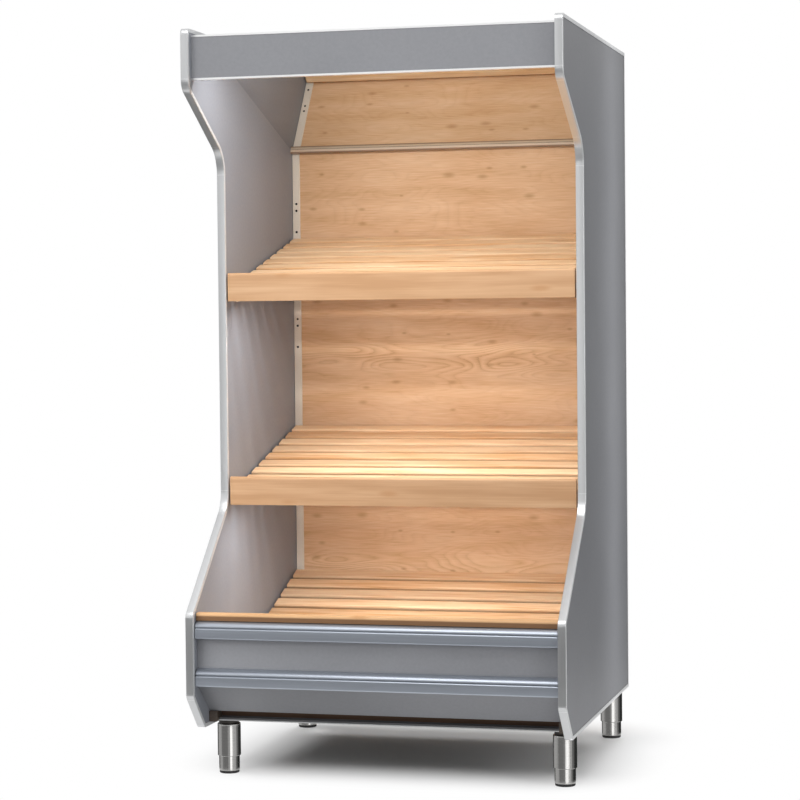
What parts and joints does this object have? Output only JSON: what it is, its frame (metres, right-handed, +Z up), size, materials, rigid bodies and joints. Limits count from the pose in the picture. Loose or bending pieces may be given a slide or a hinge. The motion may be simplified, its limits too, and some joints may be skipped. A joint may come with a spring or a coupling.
{
  "type": "vegetable display rack",
  "caption": "Open-front shop rack for vegetables with sloping slatted wood shelves, a slatted bin, a tilted mirror canopy, shaped side panels and adjustable legs.",
  "frame": {"origin": "on the floor, under the middle of the rack's outer box", "axes": "+Z up, front of the rack faces -Y, +X to the right seen from the front"},
  "size_m": [1, 0.983, 1.962],
  "materials": {
    "grey_laminate": "mid-grey laminated board, satin",
    "satin_aluminium": "satin anodised edge profile",
    "bumper_aluminium": "grey anodised bumper profile",
    "cream_powder_coat": "cream powder coat",
    "dark_steel": "dark painted steel",
    "oiled_wood": "light oiled hardwood",
    "mirror": "silvered glass",
    "backing_board": "plain backing board",
    "polished_stainless": "polished stainless tube",
    "black_rubber": "black foot pad"
  },
  "bodies": {
    "cabinet": {"side_panel_left": "grey_laminate", "side_panel_right": "grey_laminate", "canopy_top": "grey_laminate", "fascia_panel": "grey_laminate", "lower_front_panel": "grey_laminate", "kick_panel": "grey_laminate", "edge_trim_left": "satin_aluminium", "edge_trim_right": "satin_aluminium", "fascia_strip_bottom": "satin_aluminium", "fascia_strip_top": "satin_aluminium", "mirror_foot_strip": "satin_aluminium", "bumper_lower": "bumper_aluminium", "bumper_upper": "bumper_aluminium", "upright_left": "cream_powder_coat", "upright_right": "cream_powder_coat", "base_leg_left": "cream_powder_coat", "base_leg_right": "cream_powder_coat", "base_rail_back": "cream_powder_coat", "bin_ledger_back": "cream_powder_coat", "upper_bracket_left": "cream_powder_coat", "upper_bracket_right": "cream_powder_coat", "middle_bracket_left": "cream_powder_coat", "middle_bracket_right": "cream_powder_coat", "base_rail_front": "dark_steel", "leg_plate_front_left": "dark_steel", "leg_plate_front_right": "dark_steel", "leg_plate_back_left": "dark_steel", "leg_plate_back_right": "dark_steel", "back_board_lower": "oiled_wood", "back_board_middle": "oiled_wood", "back_board_upper": "oiled_wood", "bin_cap_rail": "oiled_wood", "mirror_glass": "mirror", "mirror_backing": "backing_board", "leg_tube_front_left": "polished_stainless", "leg_tube_front_right": "polished_stainless", "leg_tube_back_left": "polished_stainless", "leg_tube_back_right": "polished_stainless"},
    "upper_shelf": {"upper_slat_grid": "oiled_wood", "upper_front_board": "oiled_wood"},
    "middle_shelf": {"middle_slat_grid": "oiled_wood", "middle_front_board": "oiled_wood"},
    "bin_deck": {"bin_slat_grid": "oiled_wood"},
    "foot_front_left": {"foot_sleeve_front_left": "polished_stainless", "foot_pad_front_left": "black_rubber"},
    "foot_front_right": {"foot_sleeve_front_right": "polished_stainless", "foot_pad_front_right": "black_rubber"},
    "foot_back_left": {"foot_sleeve_back_left": "polished_stainless", "foot_pad_back_left": "black_rubber"},
    "foot_back_right": {"foot_sleeve_back_right": "polished_stainless", "foot_pad_back_right": "black_rubber"}
  },
  "joints": [
    {"name": "upper_shelf_lift", "type": "slide", "parent": "cabinet", "child": "upper_shelf", "axis": [0, 0, 1], "range_m": [0, 0.1]},
    {"name": "middle_shelf_lift", "type": "slide", "parent": "cabinet", "child": "middle_shelf", "axis": [0, 0, 1], "range_m": [0, 0.1]},
    {"name": "bin_deck_lift", "type": "slide", "parent": "cabinet", "child": "bin_deck", "axis": [0, 0, 1], "range_m": [0, 0.1]},
    {"name": "foot_front_left_screw", "type": "slide", "parent": "cabinet", "child": "foot_front_left", "axis": [0, 0, -1], "range_m": [-0.03, 0.02]},
    {"name": "foot_front_right_screw", "type": "slide", "parent": "cabinet", "child": "foot_front_right", "axis": [0, 0, -1], "range_m": [-0.03, 0.02]},
    {"name": "foot_back_left_screw", "type": "slide", "parent": "cabinet", "child": "foot_back_left", "axis": [0, 0, -1], "range_m": [-0.03, 0.02]},
    {"name": "foot_back_right_screw", "type": "slide", "parent": "cabinet", "child": "foot_back_right", "axis": [0, 0, -1], "range_m": [-0.03, 0.02]}
  ]
}
